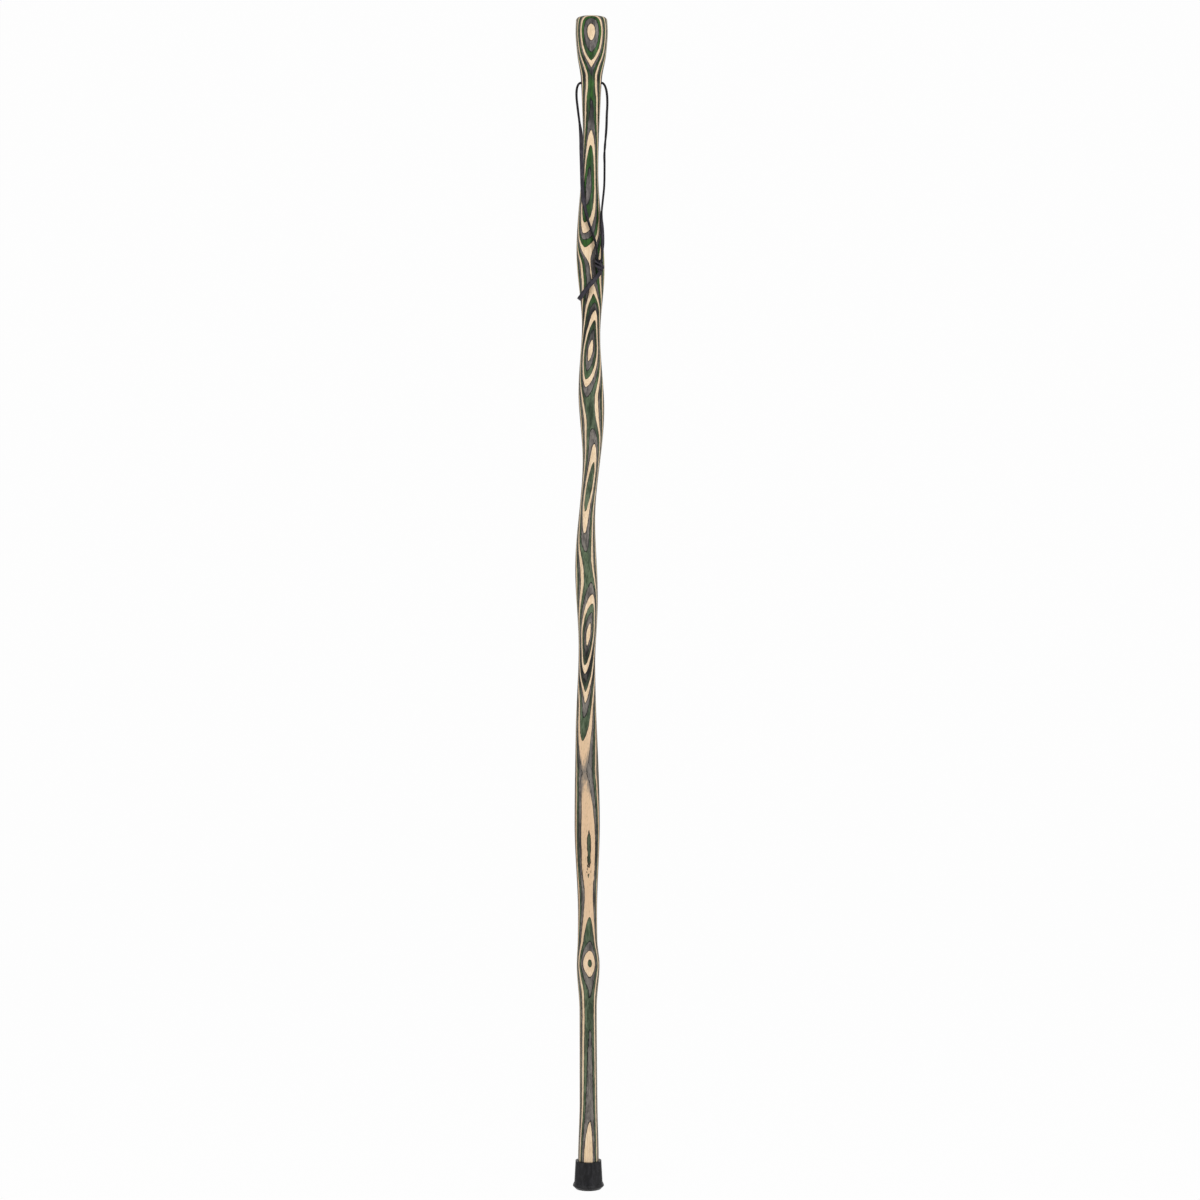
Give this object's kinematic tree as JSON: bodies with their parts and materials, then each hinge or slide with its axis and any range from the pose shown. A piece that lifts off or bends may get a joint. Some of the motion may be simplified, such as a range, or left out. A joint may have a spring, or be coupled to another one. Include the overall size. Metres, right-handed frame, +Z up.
{
  "type": "hiking staff",
  "caption": "Hiking staff carved from a laminated billet of dyed veneers, with a knob head, a knotted leather wrist loop through a cross bore and a push-on rubber tip.",
  "frame": {"origin": "middle of the rubber tip's tread, on the ground", "axes": "+Z up along the staff, -Y towards its front, +X to the right as seen from the front"},
  "size_m": [0.0421, 0.0421, 1.397],
  "materials": {
    "natural_veneer": "satin lacquer",
    "charcoal_veneer": "satin lacquer",
    "green_veneer": "satin lacquer",
    "tip_rubber": "matte moulded",
    "washer_steel": "zinc plated",
    "lace_leather": "oiled, matte"
  },
  "bodies": {
    "shaft": {"ply_01_natural": "natural_veneer", "ply_02_charcoal": "charcoal_veneer", "ply_03_green": "green_veneer", "ply_04_natural": "natural_veneer", "ply_05_charcoal": "charcoal_veneer", "ply_06_green": "green_veneer", "ply_07_natural": "natural_veneer", "ply_08_charcoal": "charcoal_veneer", "ply_09_green": "green_veneer", "ply_10_natural": "natural_veneer", "ply_11_charcoal": "charcoal_veneer", "ply_12_green": "green_veneer", "ply_13_natural": "natural_veneer", "ply_14_charcoal": "charcoal_veneer", "ply_15_green": "green_veneer", "ply_16_natural": "natural_veneer", "ply_17_charcoal": "charcoal_veneer", "ply_18_green": "green_veneer", "ply_19_natural": "natural_veneer", "ply_20_charcoal": "charcoal_veneer", "ply_21_green": "green_veneer", "ply_22_natural": "natural_veneer", "ply_23_charcoal": "charcoal_veneer", "ply_24_green": "green_veneer", "ply_25_natural": "natural_veneer"},
    "tip": {"rubber_ferrule": "tip_rubber", "ferrule_washer": "washer_steel"},
    "wrist_loop": {"lace_in_bore": "lace_leather", "lace_left_leg": "lace_leather", "lace_right_leg": "lace_leather", "lace_knot": "lace_leather", "lace_front_tail": "lace_leather", "lace_rear_tail": "lace_leather"}
  },
  "joints": [
    {"name": "wrist_loop_swing", "type": "hinge", "parent": "shaft", "child": "wrist_loop", "pos_m": [0.0035, -0.0024, 1.319], "axis": [-1, 0, 0], "range_deg": [0, 130]},
    {"name": "tip_pull", "type": "slide", "parent": "shaft", "child": "tip", "axis": [0, 0, -1], "range_m": [0, 0.04]}
  ]
}
